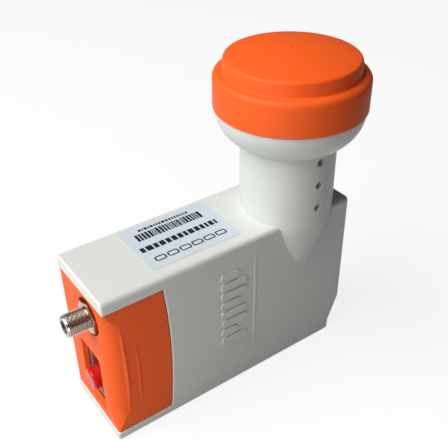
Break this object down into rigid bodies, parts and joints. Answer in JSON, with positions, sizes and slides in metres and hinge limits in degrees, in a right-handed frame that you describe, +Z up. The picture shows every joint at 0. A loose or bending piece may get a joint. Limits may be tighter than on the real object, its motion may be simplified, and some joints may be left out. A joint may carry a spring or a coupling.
{
  "type": "satellite lnb",
  "caption": "Satellite LNB with an optical output: white case with a round neck, bell and orange feed cap, and an orange end cover with a threaded power connector and a capped optical port.",
  "frame": {"origin": "on the neck's axis, on the plane that the base stands on", "axes": "+Z up along the neck towards the feed cap, -X towards the connectors, -Y towards the side that the neck bulges out of"},
  "size_m": [0.1376, 0.062, 0.1442],
  "materials": {
    "white_plastic": "satin moulded plastic",
    "orange_plastic": "satin moulded plastic",
    "red_plastic": "soft glossy plastic",
    "nickel": "nickel plated, turned",
    "cast_aluminium": "die cast",
    "screw_steel": "zinc plated",
    "tinned_sheet": "tinned",
    "black_rubber": "moulded",
    "dark_plastic": "moulded",
    "pale_plastic": "turned",
    "contact_brass": "plated",
    "circuit_board": "solder mask",
    "white_ceramic": "ground",
    "label_film": "printed film"
  },
  "bodies": {
    "root": {"main_housing": "white_plastic", "head_bell": "white_plastic", "feed_cap": "orange_plastic", "feed_cap_seal": "black_rubber", "scalar_ring": "cast_aluminium", "end_cover": "orange_plastic", "base_cover": "white_plastic", "base_screws": "screw_steel", "label": "label_film", "f_connector_body": "nickel", "f_connector_insulator": "dark_plastic", "f_connector_contact": "contact_brass", "f_connector_seal": "black_rubber", "optical_receptacle": "nickel", "receptacle_screws": "screw_steel", "alignment_sleeve": "white_ceramic", "laser_diode": "contact_brass", "dust_cap": "red_plastic", "chassis": "cast_aluminium", "chassis_gasket": "black_rubber", "chassis_lid": "cast_aluminium", "lid_screws": "screw_steel", "rf_board": "circuit_board", "board_screws": "screw_steel", "vertical_probe": "contact_brass", "horizontal_probe": "contact_brass", "probe_bushes": "pale_plastic", "isolation_bar": "contact_brass", "shield_can": "tinned_sheet", "reference_crystal": "tinned_sheet", "voltage_regulator": "dark_plastic"}
  },
  "joints": []
}
